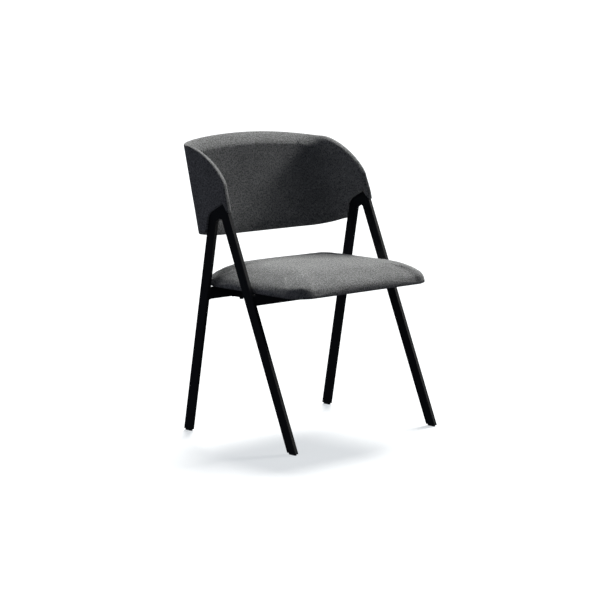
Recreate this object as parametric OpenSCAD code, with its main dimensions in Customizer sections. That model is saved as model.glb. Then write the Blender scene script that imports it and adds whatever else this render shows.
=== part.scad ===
// Dining chair: two welded flat-bar side frames, a tube subframe, a domed upholstered seat
// and an upholstered bent-plywood back shell whose arms close over the tops of the side frames.
// Millimetres. +Z is up, the sitter faces -Y, and X = 0 is the plane of symmetry.
// The origin is on the floor, under the middle of the chair's overall box.

/* [Side frames] */
// Width of the flat steel bar of the legs
bar_w = 30; // [28:1:32]
// Thickness of the flat steel bar of the legs
bar_t = 10; // [8:1:11]
// Distance between the outer faces of the two side frames
frame_w = 534; // [530:1:538]
// Distance between the middles of the front and rear feet at the floor
foot_span = 418.8; // [416:0.2:422]
// Rake of the front leg from the vertical, in degrees
front_rake = 23.3; // [23:0.1:23.6]
// Rake of the rear leg from the vertical, in degrees
rear_rake = 10.54; // [10.2:0.02:10.8]
// Height of the bend in the rear leg, on the middle of the bar
elbow_h = 595.5; // [593:0.5:598]
// Slope of the short top run of the rear leg above the horizontal, in degrees
top_slope = 28; // [26:0.5:30]
// Inner radius of the bend in the rear leg
elbow_r = 6; // [4:1:9]
// Height of the plastic glide under each foot
glide_h = 4; // [3:0.5:6]

/* [Subframe] */
// Height of the crossbars and rails
tube_h = 30; // [28:1:30]
// Width of the crossbars and rails
tube_w = 20; // [18:1:22]
// Wall of the crossbars and rails
tube_wall = 1.5; // [1.2:0.1:2.5]
// Height of the underside of the crossbars and rails
tube_z = 371.5; // [369:0.5:373]
// Distance from the plane of symmetry to the middle of each side rail
rail_x = 168; // [160:1:176]

/* [Seat] */
// Width of the seat at its widest
seat_w = 498; // [490:1:500]
// Distance from the middle of the stance to the seat's front edge
seat_front = 221; // [215:1:224]
// Distance from the middle of the stance to the seat's rear edge
seat_back = 196; // [190:1:200]
// Corner radius of the seat at the front
seat_r_front = 52; // [44:1:60]
// Corner radius of the seat at the rear
seat_r_rear = 78; // [70:1:90]
// Narrowing of the seat from front to rear, on each side
seat_taper = 6; // [0:1:12]
// Height of the crown of the seat
seat_h = 465; // [458:1:470]
// Height of the seat's widest line
seat_rim_h = 417; // [415:0.5:420]
// Thickness of the seat board
seat_board_t = 12; // [11:1:12]

/* [Back shell] */
// Height of the top of the back shell, in the middle
shell_top = 800; // [796:1:804]
// Height of the lower edge of the back shell
shell_low = 535; // [532:1:538]
// Width of the shell at mid height
shell_w = 535; // [534:1:538]
// Depth of the rounded rear part of the shell's plan
shell_depth = 109.5; // [104:0.5:114]
// Exponent of the superellipse that rounds the shell's plan
shell_round = 4.19; // [3.6:0.01:5]
// Backward lean of the shell, in mm per mm of height
shell_lean = 0.337; // [0.32:0.001:0.35]
// Inward lean of the shell's sides, in mm per mm of height
shell_tumble = 0.07; // [0.06:0.005:0.08]
// Thickness of the shell in the middle of the back
back_t = 29; // [26:0.5:32]
// Thickness of the shell's arms
arm_t = 19; // [18.5:0.5:21]
// Thickness of the plywood board in the shell
shell_board_t = 12; // [11:0.5:12]
// Thickness of the fabric covers
cover_t = 1.2; // [1:0.1:1.5]

/* [Hidden] */

// ---- Side frame, drawn in a plane whose axes are (y from the middle of the stance, z) ----
frame_x = frame_w / 2 - bar_t / 2;
top_dir = [-cos(top_slope), sin(top_slope)];
elbow = [foot_span / 2 - elbow_h * tan(rear_rake), elbow_h];
elbow_mid_r = elbow_r + bar_w / 2;
front_half = bar_w / 2 / cos(front_rake);
rear_half = bar_w / 2 / cos(rear_rake);
function front_y(z) = -foot_span / 2 + z * tan(front_rake);
function rear_y(z) = foot_span / 2 - z * tan(rear_rake);
function left_of(d) = [-d[1], d[0]];
// Shapes that only trim another run out to these lines, clear of the whole chair
below = -100;
above = 900;
far = 600;

// ---- Origin: the stance is moved so that the overall box is centred on Y = 0 ----
shell_mid_z = 672;
shell_yc = 129.7;
ridge_r = back_t / 2;
ridge_y = shell_yc + shell_depth - ridge_r + shell_lean * (shell_top - ridge_r - shell_mid_z)
    + ridge_r * sqrt(1 + pow(shell_lean, 2));
foot_y = front_y(glide_h) - front_half;
stance_y = -(ridge_y + foot_y) / 2;

// ---- Seat heights and insets ----
tube_top = tube_z + tube_h;
dust_t = 0.8;
board_z = tube_top + dust_t + cover_t;
board_inset = 10;
flange_w = 34;
tee_flange_t = 1.5;
seat_bolt_y = [0, 96];
bolt_r = 3;
bolt_hole_r = 3.4;

// ---- Back shell layers, as depths in from the outer skin ----
outer_foam_t = 2.5;
board_out = cover_t + outer_foam_t;
board_in = board_out + shell_board_t;
gap = 0.15;
board_edge = 9;
arm_front = 52;
arm_low = 611;
arm_drop = 100;
arm_drop_from = 185;
arm_drop_power = 1.6;
notch_gap = 0.4;

// ---------------------------------------------------------------- side frames

// A line h outside the path a-c-b, which bends once, at c, to its left with radius r
function bend_line(a, c, b, r, h, n = 8) =
    let (u = (c - a) / norm(c - a), v = (b - c) / norm(b - c), turn = acos(u * v), side = left_of(u))
    let (centre = c - u * r * tan(turn / 2) + side * r)
    concat(
        [a - side * h],
        [for (i = [0:n]) let (t = turn * i / n) centre + (u * sin(t) - side * cos(t)) * (r + h)],
        [b - left_of(v) * h]
    );
function backwards(v) = [for (i = [len(v) - 1:-1:0]) v[i]];

// A straight bar's outline between two heights, along the front leg
function front_bar(z0, z1, w = bar_w) =
    let (h = w / 2 / cos(front_rake))
    [[front_y(z0) - h, z0], [front_y(z0) + h, z0], [front_y(z1) + h, z1], [front_y(z1) - h, z1]];

// Outer line of the rear leg's top run, which also trims the front leg
top_edge = elbow + left_of(top_dir) * -bar_w / 2;

module side_plane(x, t) {
    translate([x - t / 2, stance_y, 0]) rotate([90, 0, 90]) linear_extrude(t) children();
}

module above_top_edge(gap = 0) {
    lift = [0, gap];
    polygon([
        top_edge - top_dir * far + lift, top_edge + top_dir * far + lift,
        top_edge + top_dir * far + [0, far], top_edge - top_dir * far + [0, far]
    ]);
}

// The top run is drawn past the front leg and trimmed against its rear edge
top_run = 110;

module rear_bar_outline() {
    a = [rear_y(below / 2), below / 2];
    b = elbow + top_dir * top_run;
    polygon(concat(
        bend_line(a, elbow, b, elbow_mid_r, bar_w / 2),
        backwards(bend_line(a, elbow, b, elbow_mid_r, -bar_w / 2))
    ));
}

// Everything forward of the rear edge of the front leg
module ahead_of_front_leg() {
    polygon([
        [front_y(below) + front_half, below], [front_y(above) + front_half, above],
        [-far, above], [-far, below]
    ]);
}

module floor_trim() {
    translate([-far, below]) square([2 * far, glide_h - below]);
}

module front_leg(x) {
    color("#1b1d20") difference() {
        side_plane(x, bar_t) difference() {
            polygon(front_bar(glide_h, above));
            above_top_edge();
        }
        glide_hole(x, front_y(glide_h));
    }
}

module rear_leg(x) {
    color("#1b1d20") difference() {
        side_plane(x, bar_t) difference() {
            rear_bar_outline();
            ahead_of_front_leg();
            floor_trim();
        }
        glide_hole(x, rear_y(glide_h));
    }
}

// Each foot stands on a round-ended plastic glide, held by a peg in a hole drilled up the bar
glide_l = 26;
glide_w = 8;
peg_r = 2.5;
peg_l = 12;
peg_gap = 0.05;
peg_end_gap = 0.5;

module glide_hole(x, y) {
    translate([x, y + stance_y, glide_h - 1])
        cylinder(h = 1 + peg_l + peg_end_gap, r = peg_r + peg_gap, $fn = 32);
}

module glide(x, y) {
    end_y = (glide_l - glide_w) / 2;
    color("#141414") translate([x, y + stance_y, 0]) {
        linear_extrude(glide_h) {
            square([glide_w, 2 * end_y], center = true);
            for (side = [-1, 1])
                translate([0, side * end_y]) circle(r = glide_w / 2, $fn = 32);
        }
        cylinder(h = glide_h + peg_l, r = peg_r, $fn = 32);
    }
}

// Steel tab welded on the top edge of a side frame; it stands inside the arm's board
tab_t = 4;
tab_outline = [[66, 632], [104, 612], [119, 640], [117, 684], [94, 690], [76, 666]];
tab_centre = [96, 652];
tab_holes = [[90, 648], [106, 652], [99, 673]];
tab_foot_z = 618;
tab_in = 1.2;
tab_tilt = atan(shell_tumble);
tab_screw_r = 2.5;
tab_screw_gap = 0.1;
function tab_points(gap) = [for (p = tab_outline) p + (p - tab_centre) / norm(p - tab_centre) * gap];

module tab_frame(side) {
    translate([side * (frame_x - tab_in), stance_y, tab_foot_z]) rotate([0, -side * tab_tilt, 0])
        translate([0, 0, -tab_foot_z]) children();
}

module tab_plate(side, t, gap) {
    tab_frame(side) translate([-t / 2, 0, 0]) rotate([90, 0, 90]) linear_extrude(t)
        polygon(tab_points(gap));
}

module tab_holes(side, r, depth) {
    tab_frame(side) for (p = tab_holes)
        translate([0, p[0], p[1]]) rotate([0, 90, 0]) cylinder(h = depth, r = r, center = true, $fn = 32);
}

module shell_tab(side) {
    color("#1b1d20") difference() {
        tab_plate(side, tab_t, 0);
        tab_holes(side, tab_screw_r + tab_screw_gap, 4 * tab_t);
        side_plane(side * frame_x, 2 * bar_t) difference() {
            translate([-far, below]) square([2 * far, above - below]);
            above_top_edge();
        }
    }
}

// Countersunk screws, driven outwards from the inner face of the board through the tab
screw_head_h = 2.2;
screw_head_r = 4.6;
screw_l = 9;
screw_start = 5;

module at_shell_screws() {
    for (side = [-1, 1]) tab_frame(side) for (p = tab_holes)
        translate([-side * screw_start, p[0], p[1]]) rotate([0, side * 90, 0]) children();
}

module shell_screw(gap) {
    translate([0, 0, -gap])
        cylinder(h = screw_head_h, r1 = screw_head_r + gap, r2 = tab_screw_r + gap, $fn = 32);
    cylinder(h = screw_l + gap, r = tab_screw_r + gap, $fn = 32);
}

module shell_screws() {
    color("#8f9196") at_shell_screws() shell_screw(0);
}

// ---------------------------------------------------------------- subframe

module tube(size, wall, along) {
    hollow = [for (i = [0:2]) i == along ? size[i] + 2 : size[i] - 2 * wall];
    difference() {
        cube(size, center = true);
        cube(hollow, center = true);
    }
}

tube_mid_z = tube_z + tube_h / 2;
front_tube_y = front_y(tube_mid_z);
rear_tube_y = rear_y(tube_mid_z) - rear_half + tube_w / 2;
crossbar_l = frame_w - 2 * bar_t;
rail_l = rear_tube_y - front_tube_y - tube_w;

module crossbar(y) {
    color("#1b1d20") translate([0, y + stance_y, tube_mid_z])
        tube([crossbar_l, tube_w, tube_h], tube_wall, 0);
}

module side_rail(side) {
    color("#1b1d20") difference() {
        translate([side * rail_x, (front_tube_y + rear_tube_y) / 2 + stance_y, tube_mid_z])
            tube([tube_w, rail_l, tube_h], tube_wall, 1);
        for (y = seat_bolt_y)
            translate([side * rail_x, y + stance_y, tube_z - 1])
                cylinder(h = tube_h + 2, r = bolt_hole_r, $fn = 32);
    }
}

module at_seat_bolts(z) {
    for (side = [-1, 1])
        for (y = seat_bolt_y)
            translate([side * rail_x, y + stance_y, z]) children();
}

washer_t = 1.6;
washer_r = 6;
washer_hole_r = 3.2;

module seat_washers() {
    color("#8f9196") at_seat_bolts(tube_z - washer_t) difference() {
        cylinder(h = washer_t, r = washer_r, $fn = 48);
        translate([0, 0, -1]) cylinder(h = washer_t + 2, r = washer_hole_r, $fn = 32);
    }
}

// M6 button-head screws, driven up through the washers and rails into the tee nuts
bolt_l = 42;
bolt_head_h = 4;
bolt_head_r = 5.2;
bolt_socket_r = 2.31;
bolt_socket_h = 2.5;

module seat_screws() {
    color("#8f9196") at_seat_bolts(tube_z - washer_t) {
        cylinder(h = bolt_l, r = bolt_r, $fn = 32);
        difference() {
            translate([0, 0, -bolt_head_h]) cylinder(h = bolt_head_h, r = bolt_head_r, $fn = 48);
            translate([0, 0, -bolt_head_h - 1]) cylinder(h = bolt_socket_h + 1, r = bolt_socket_r, $fn = 6);
        }
    }
}

tee_r = 3.9;
tee_l = 9;
tee_flange_r = 9.5;
thread_gap = 0.05;

module seat_tee_nuts() {
    color("#8f9196") at_seat_bolts(board_z + seat_board_t) difference() {
        union() {
            translate([0, 0, -tee_l]) cylinder(h = tee_l + tee_flange_t, r = tee_r, $fn = 32);
            cylinder(h = tee_flange_t, r = tee_flange_r, $fn = 48);
        }
        translate([0, 0, -tee_l - 1])
            cylinder(h = tee_l + tee_flange_t + 2, r = bolt_r + thread_gap, $fn = 32);
    }
}

// ---------------------------------------------------------------- lofted solids

// Joins closed rings of equal length into one solid, with a flat cap on the first and last
module loft(rings) {
    n = len(rings[0]);
    m = len(rings);
    points = [for (ring = rings, p = ring) p];
    sides = [
        for (i = [0:m - 2], j = [0:n - 1])
            let (a = i * n + j, b = i * n + (j + 1) % n)
            let (short = norm(points[a] - points[b + n]) < norm(points[b] - points[a + n]))
            each short ? [[a, b, b + n], [a, b + n, a + n]] : [[a, b, a + n], [b, b + n, a + n]]
    ];
    first = [for (j = [n - 1:-1:0]) j];
    last = [for (j = [0:n - 1]) (m - 1) * n + j];
    polyhedron(points = points, faces = concat([first], sides, [last]), convexity = 6);
}

// ---------------------------------------------------------------- seat

corner_steps = 7;

// Outline of the seat, inset by d, as one closed list of points, counterclockwise from above.
// The corners sharpen more slowly than a true offset would, so they stay round up to the crown.
corner_rate = 0.6;
corner_least = 8;
function seat_outline(d) =
    let (r0 = max(seat_r_front - d * corner_rate, corner_least))
    let (r1 = max(seat_r_rear - d * corner_rate, corner_least))
    let (x0 = seat_w / 2 - d, x1 = seat_w / 2 - seat_taper - d)
    let (y0 = -seat_front + d, y1 = seat_back - d)
    let (right = concat(
        [for (i = [0:corner_steps]) let (a = -90 + 90 * i / corner_steps)
            [x0 - r0 + r0 * cos(a), y0 + r0 + r0 * sin(a)]],
        [for (i = [0:corner_steps]) let (a = 90 * i / corner_steps)
            [x1 - r1 + r1 * cos(a), y1 - r1 + r1 * sin(a)]]
    ))
    concat(right, [for (i = [len(right) - 1:-1:0]) [-right[i][0], right[i][1]]]);

function seat_ring(d, z) = [for (p = seat_outline(d)) [p[0], p[1] + stance_y, z]];

// The seat's skin from its underside to its crown, moved in by g, as [inset, height] pairs:
// a rounded lower edge, a short upright rim, the dome, and a nearly flat crown
dome_inset = 128;
dome_power = 1.75;
function dome_h(t, g) =
    seat_rim_h + (seat_h - g - seat_rim_h) * pow(1 - pow(1 - t, dome_power), 1 / dome_power);
under_r = 7;
under_in = 1.5;
rim_h = 2;
function seat_skin(g) = concat(
    [for (a = [0, 30, 60])
        [g + under_in + under_r * (1 - sin(a)), board_z - cover_t + g + under_r * (1 - cos(a))]],
    [[g, seat_rim_h - rim_h], [g, seat_rim_h]],
    [for (t = [0.04, 0.12, 0.24, 0.4, 0.6, 0.8, 1]) [g + dome_inset * t, dome_h(t, g)]]
);
crown = [[160, 0.4], [190, 0.7]];
function seat_crown(g) = [for (c = crown) [c[0], seat_h - g + c[1]]];
function seat_upper(g) = concat(seat_skin(g), seat_crown(g));

module seat_foam() {
    pocket_z = board_z + seat_board_t;
    pocket = [seat_ring(board_inset, pocket_z), seat_ring(board_inset, board_z)];
    skin = [for (p = seat_upper(cover_t + gap)) seat_ring(p[0], max(p[1], board_z))];
    color("#d8c79a") difference() {
        loft(backwards(concat(pocket, skin)));
        at_seat_bolts(pocket_z - 1)
            cylinder(h = 1 + tee_flange_t + gap, r = tee_flange_r + gap, $fn = 48);
    }
}

module seat_cover() {
    inner = seat_upper(cover_t);
    outer = seat_upper(0);
    down = [for (i = [len(inner) - 1:-1:0]) seat_ring(inner[i][0], inner[i][1])];
    edge = [seat_ring(flange_w, board_z), seat_ring(flange_w, board_z - cover_t)];
    up = [for (p = outer) seat_ring(p[0], p[1])];
    color("#77797c") loft(backwards(concat(down, edge, up)));
}

module seat_board() {
    color("#c8a878") difference() {
        translate([0, stance_y, board_z]) linear_extrude(seat_board_t)
            polygon(seat_outline(board_inset + gap));
        at_seat_bolts(board_z - 1) cylinder(h = seat_board_t + 2, r = tee_r + thread_gap, $fn = 32);
    }
}

dust_inset = 24;

module seat_dust_cover() {
    color("#202122") difference() {
        translate([0, stance_y, tube_top]) linear_extrude(dust_t) polygon(seat_outline(dust_inset));
        at_seat_bolts(tube_top - 1) cylinder(h = dust_t + 2, r = bolt_hole_r, $fn = 32);
    }
}

// Staple crowns lie flat under the dust cover, in rows that stop short of the corners and crossbars
staple = [10, 1.3, 0.6];
staple_in = dust_inset + 8;

module staple_row(a, b, n) {
    turn = atan2(b[1] - a[1], b[0] - a[0]);
    for (i = [0:n - 1]) {
        p = a + (b - a) * (i + 0.5) / n;
        translate([p[0], p[1] + stance_y, tube_top - staple[2] / 2])
            rotate([0, 0, turn]) cube(staple, center = true);
    }
}

module dust_cover_staples() {
    x = seat_w / 2 - staple_in;
    y0 = -seat_front + staple_in;
    y1 = seat_back - staple_in;
    from_front = 40;
    from_rear = 70;
    from_bar = tube_w;
    color("#a9abae") {
        staple_row([from_front - x, y0], [x - from_front, y0], 9);
        staple_row([from_rear - x, y1], [x - from_rear, y1], 7);
        for (side = [-1, 1]) {
            staple_row([side * x, y0 + from_front], [side * x, front_tube_y - from_bar], 3);
            staple_row([side * x, front_tube_y + from_bar], [side * (x - 4), y1 - from_rear], 4);
        }
    }
}

// ---------------------------------------------------------------- back shell

// A station is [x, y, outward x, outward y, thickness] of the outer skin at shell_mid_z
half_w = shell_w / 2;
thicken_over = 80;
function thickness(y) =
    let (t = min(max((y - shell_yc) / thicken_over, 0), 1))
    arm_t + (back_t - arm_t) * t * t * (3 - 2 * t);

nose = [for (a = [14, 38, 62]) [half_w - arm_t / 2 * (1 - sin(a)), arm_front + arm_t / 2 * (1 - cos(a)),
    1, 0, arm_t * sin(a)]];
arm = [for (y = [61.5, 62, 62.5, 70, 80, 94, 112]) [half_w, y, 1, 0, arm_t]];
corner_n = 13;
corner = [
    for (i = [0:corner_n])
        let (a = 90 * pow(i / corner_n, 1.5))
        let (c = pow(cos(a), 2 / shell_round), s = pow(sin(a), 2 / shell_round))
        let (gx = pow(c, shell_round - 1) / half_w, gy = pow(s, shell_round - 1) / shell_depth)
        let (g = norm([gx, gy]), y = shell_yc + shell_depth * s)
        [half_w * c, y, gx / g, gy / g, thickness(y)]
];
half_stations = concat(nose, arm, corner);
stations = concat(
    half_stations,
    [for (i = [len(half_stations) - 2:-1:0]) let (s = half_stations[i]) [-s[0], s[1], -s[2], s[3], s[4]]]
);

// Top of the shell at a station: a slight arch, with the arms sweeping down to the front
top_arch = 0.000292;
function shell_top_z(s) =
    let (t = min(max((arm_drop_from - s[1]) / (arm_drop_from - arm_front), 0), 0.999))
    let (drop = arm_drop * (1 - pow(1 - pow(t, arm_drop_power), 1 / arm_drop_power)))
    shell_top - top_arch * s[0] * s[0] - drop;

// Bottom of the shell at a station: it rises towards the side frames, and from leg_y forward it
// runs along the top of the side frame, as [station, height] pairs
low_rise = 0.00462;
low_rise_from = 236;
leg_y = 158;
leg_low = [[arm_front, arm_low], [58, 612], [64, 617], [78, 620], [118, 603], [132, 592], [leg_y, 563]];
function shell_low_z(s) =
    s[1] > leg_y ? shell_low + low_rise * pow(max(low_rise_from - s[1], 0), 2) : lookup(s[1], leg_low);

function shell_point(s, e, z) =
    let (d = z - shell_mid_z)
    [(s[0] - e * s[2]) * (1 - shell_tumble * d / half_w), s[1] - e * s[3] + shell_lean * d + stance_y, z];

// Section points on a stadium that is inset by g, from angle a0 to a1 (90 is the top ridge)
function stadium(s, g, angles) =
    let (r = s[4] / 2, z0 = shell_low_z(s) + r, z1 = shell_top_z(s) - r)
    [for (a = angles) shell_point(s, r + (r - g) * cos(a), (sin(a) >= 0 ? z1 : z0) + (r - g) * sin(a))];
outer_up = [270, 245, 215, 181, 161, 138, 115, 90];
inner_down = [90, 65, 35, 1, -1, -35, -65, -90];

// The board's pocket starts at this station; in front of it the two foams meet on the mid line
pocket_y = 61.8;

// Inner side of a foam's section: the mid line at the ends, and the board's face at depth e between
function split(s, e, from_top) =
    let (r = s[4] / 2, z0 = shell_low_z(s) + board_edge, z1 = shell_top_z(s) - board_edge)
    let (in_board = s[1] > pocket_y && s[4] >= arm_t)
    let (face = in_board ? e : r, step = in_board ? 0 : 4)
    let (top_two = [shell_point(s, r, z1), shell_point(s, face, z1 - step)])
    let (low_two = [shell_point(s, face, z0 + step), shell_point(s, r, z0)])
    from_top ? concat(top_two, low_two) : backwards(concat(top_two, low_two));

// What is cut out of the arms for the top of a side frame: all that lies under its top edge
notch_run = 49;
notch_foot = 500;
notch_w = 60;
notch_in = 2;

module notch(side) {
    toe = [front_y(arm_low) - front_half - notch_gap, arm_low];
    back = [rear_y(notch_foot), notch_foot];
    side_plane(side * (frame_x - notch_in), notch_w) polygon(concat(
        bend_line(back, elbow, elbow + top_dir * notch_run, elbow_mid_r, bar_w / 2 + notch_gap),
        [toe, [front_y(notch_foot) - front_half, notch_foot]]
    ));
}

// The arm's tip closes over the top end of the front leg
module steel_pocket(side) {
    side_plane(side * frame_x, bar_t + 2 * notch_gap) difference() {
        polygon(front_bar(notch_foot, above, bar_w + 2 * notch_gap));
        above_top_edge(notch_gap);
    }
}

module notched() {
    difference() {
        children();
        for (side = [-1, 1]) {
            notch(side);
            steel_pocket(side);
        }
    }
}

module back_outer_cover() {
    color("#3d3f43") notched() loft([
        for (s = stations)
            concat(stadium(s, 0, outer_up), stadium(s, cover_t, backwards(outer_up)))
    ]);
}

module back_inner_cover() {
    color("#3d3f43") notched() loft([
        for (s = stations)
            concat(stadium(s, cover_t, backwards(inner_down)), stadium(s, 0, inner_down))
    ]);
}

module back_outer_foam() {
    color("#d8c79a") notched() loft([
        for (s = stations)
            concat(stadium(s, cover_t + gap, outer_up), split(s, board_out - gap, true))
    ]);
}

module back_inner_foam() {
    color("#d8c79a") notched() loft([
        for (s = stations)
            concat(stadium(s, cover_t + gap, inner_down), split(s, board_in + gap, false))
    ]);
}

module back_board() {
    board_stations = [for (s = stations) if (s[1] > pocket_y + 0.4 && s[4] >= arm_t) s];
    color("#c8a878") difference() {
        notched() loft([
            for (s = board_stations)
                let (z0 = shell_low_z(s) + board_edge, z1 = shell_top_z(s) - board_edge)
                [shell_point(s, board_out, z0), shell_point(s, board_out, z1),
                 shell_point(s, board_in, z1), shell_point(s, board_in, z0)]
        ]);
        for (side = [-1, 1]) tab_plate(side, tab_t + 2 * gap, 2 * gap);
        at_shell_screws() shell_screw(thread_gap);
    }
}

front_leg(-frame_x);  // left_front_leg
front_leg(frame_x);  // right_front_leg
rear_leg(-frame_x);  // left_rear_leg
rear_leg(frame_x);  // right_rear_leg
crossbar(front_tube_y);  // front_crossbar
crossbar(rear_tube_y);  // rear_crossbar
side_rail(-1);  // left_side_rail
side_rail(1);  // right_side_rail
shell_tab(-1);  // left_shell_tab
shell_tab(1);  // right_shell_tab
glide(-frame_x, front_y(glide_h));  // left_front_glide
glide(frame_x, front_y(glide_h));  // right_front_glide
glide(-frame_x, rear_y(glide_h));  // left_rear_glide
glide(frame_x, rear_y(glide_h));  // right_rear_glide
seat_board();
seat_foam();
seat_cover();
seat_dust_cover();
dust_cover_staples();
seat_tee_nuts();
seat_screws();
seat_washers();
back_board();
back_inner_foam();
back_outer_foam();
back_inner_cover();
back_outer_cover();
shell_screws();
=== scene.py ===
"""Looks for the dining chair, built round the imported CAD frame. Named lengths are in millimetres."""

import math

import bmesh
import bpy
import numpy as np
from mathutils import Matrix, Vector, noise


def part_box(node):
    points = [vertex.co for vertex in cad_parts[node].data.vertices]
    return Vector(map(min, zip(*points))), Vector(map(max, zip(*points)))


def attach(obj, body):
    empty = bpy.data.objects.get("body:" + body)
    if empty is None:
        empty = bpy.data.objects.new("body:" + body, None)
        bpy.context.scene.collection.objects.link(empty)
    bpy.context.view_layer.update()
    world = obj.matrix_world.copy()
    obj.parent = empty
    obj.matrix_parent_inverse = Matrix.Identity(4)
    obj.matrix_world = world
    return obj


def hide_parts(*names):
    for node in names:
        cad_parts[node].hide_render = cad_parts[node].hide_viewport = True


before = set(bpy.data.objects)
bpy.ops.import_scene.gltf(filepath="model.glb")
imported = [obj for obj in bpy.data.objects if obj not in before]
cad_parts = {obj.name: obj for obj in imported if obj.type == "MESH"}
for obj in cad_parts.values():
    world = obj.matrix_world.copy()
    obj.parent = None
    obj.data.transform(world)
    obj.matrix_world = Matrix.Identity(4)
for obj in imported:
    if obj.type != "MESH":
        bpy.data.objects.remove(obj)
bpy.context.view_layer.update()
MM = 0.001

# ---------------------------------------------------------------- dimensions repeated from the CAD
FOOT_SPAN = 418.8
FRONT_RAKE = math.radians(23.3)
REAR_RAKE = math.radians(10.54)
TOP_SLOPE = math.radians(28)
ELBOW_H = 595.5
ELBOW_R = 6
BAR_W = 30
BAR_T = 10
GLIDE_H = 4

SHELL_MID_Z = 672
SHELL_TOP = 800
SHELL_LOW = 533.5
SHELL_HALF_W = 267.5
SHELL_YC = 129.7
SHELL_DEPTH = 109.5
SHELL_ROUND = 4.19
SHELL_LEAN = 0.337
SHELL_TUMBLE = 0.07
BACK_T = 29
ARM_T = 19
ARM_FRONT = 52
ARM_LOW = 611
ARM_DROP = 100
ARM_DROP_FROM = 185
ARM_DROP_POWER = 1.6
ARM_LIFT = 1.8
TOP_ARCH = 0.000292
LOW_RISE = 0.00080
LOW_RISE_FROM = 150
THICKEN_OVER = 80

SEAT_W = 498
SEAT_FRONT = 221
SEAT_BACK = 196
SEAT_R_FRONT = 52
SEAT_R_REAR = 78
SEAT_TAPER = 6
DUST_INSET = 24

# The stance's middle lies this far along Y, read off the front glide's middle
glide_low, glide_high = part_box("right_front_glide")
STANCE_Y = (glide_low.y + glide_high.y) / 2 / MM - (GLIDE_H * math.tan(FRONT_RAKE) - FOOT_SPAN / 2)


# ---------------------------------------------------------------- materials

def put(socket, value):
    """Sets a socket, or links it when the value is another node's output"""
    if isinstance(value, bpy.types.NodeSocket):
        socket.id_data.links.new(value, socket)
    else:
        socket.default_value = value


class Look:
    """A material under construction, with one short call for each kind of node"""

    def __init__(self, name, roughness, metallic=0.0, specular=0.5, sheen=0.0, sheen_roughness=0.5):
        self.material = bpy.data.materials.new(name)
        self.material.use_nodes = True
        self.tree = self.material.node_tree
        self.shader = self.tree.nodes["Principled BSDF"]
        self.set("Roughness", roughness)
        self.set("Metallic", metallic)
        self.set("Specular IOR Level", specular)
        self.set("Sheen Weight", sheen)
        self.set("Sheen Roughness", sheen_roughness)

    def set(self, name, value):
        put(self.shader.inputs[name], value)

    def node(self, kind, **attributes):
        made = self.tree.nodes.new(kind)
        for key, value in attributes.items():
            setattr(made, key, value)
        return made

    def math(self, operation, a, b=0.0, c=0.0):
        made = self.node("ShaderNodeMath", operation=operation)
        for socket, value in zip(made.inputs, (a, b, c)):
            put(socket, value)
        return made.outputs[0]

    def mix(self, share, a, b):
        """A number between a and b"""
        made = self.node("ShaderNodeMix", data_type="FLOAT")
        put(made.inputs[0], share)
        put(made.inputs[2], a)
        put(made.inputs[3], b)
        return made.outputs[0]

    def colours(self, share, a, b, blend="MIX"):
        made = self.node("ShaderNodeMix", data_type="RGBA", blend_type=blend)
        put(made.inputs[0], share)
        put(made.inputs[6], a)
        put(made.inputs[7], b)
        return made.outputs[2]

    def vector(self, x, y, z=0.0):
        made = self.node("ShaderNodeCombineXYZ")
        for socket, value in zip(made.inputs, (x, y, z)):
            put(socket, value)
        return made.outputs[0]

    def split(self, vector):
        made = self.node("ShaderNodeSeparateXYZ")
        put(made.inputs[0], vector)
        return made.outputs[0], made.outputs[1], made.outputs[2]

    def noise(self, vector, scale, detail=2.0, roughness=0.5):
        made = self.node("ShaderNodeTexNoise", noise_dimensions="3D")
        put(made.inputs["Vector"], vector)
        made.inputs["Scale"].default_value = scale
        made.inputs["Detail"].default_value = detail
        made.inputs["Roughness"].default_value = roughness
        return made.outputs["Fac"]

    def ramp(self, value, low, high, to_low=0.0, to_high=1.0):
        made = self.node("ShaderNodeMapRange", interpolation_type="SMOOTHSTEP")
        for key, number in (("Value", value), ("From Min", low), ("From Max", high)):
            put(made.inputs[key], number)
        put(made.inputs["To Min"], to_low)
        put(made.inputs["To Max"], to_high)
        return made.outputs[0]

    def bump(self, height, distance, strength=1.0, under=None):
        made = self.node("ShaderNodeBump")
        made.inputs["Strength"].default_value = strength
        made.inputs["Distance"].default_value = distance
        put(made.inputs["Height"], height)
        if under is not None:
            put(made.inputs["Normal"], under)
        return made.outputs[0]

    def position(self):
        return self.node("ShaderNodeTexCoord").outputs["Object"]

    def attribute(self, name):
        return self.node("ShaderNodeAttribute", attribute_name=name).outputs["Fac"]

    def finish(self, colour=None, normal=None, roughness=None):
        for name, value in (("Base Color", colour), ("Normal", normal), ("Roughness", roughness)):
            if value is not None:
                self.set(name, value)
        return self.material


def rgb(r, g, b):
    return (r, g, b, 1.0)


YARN_PITCH = 2.0


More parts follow.
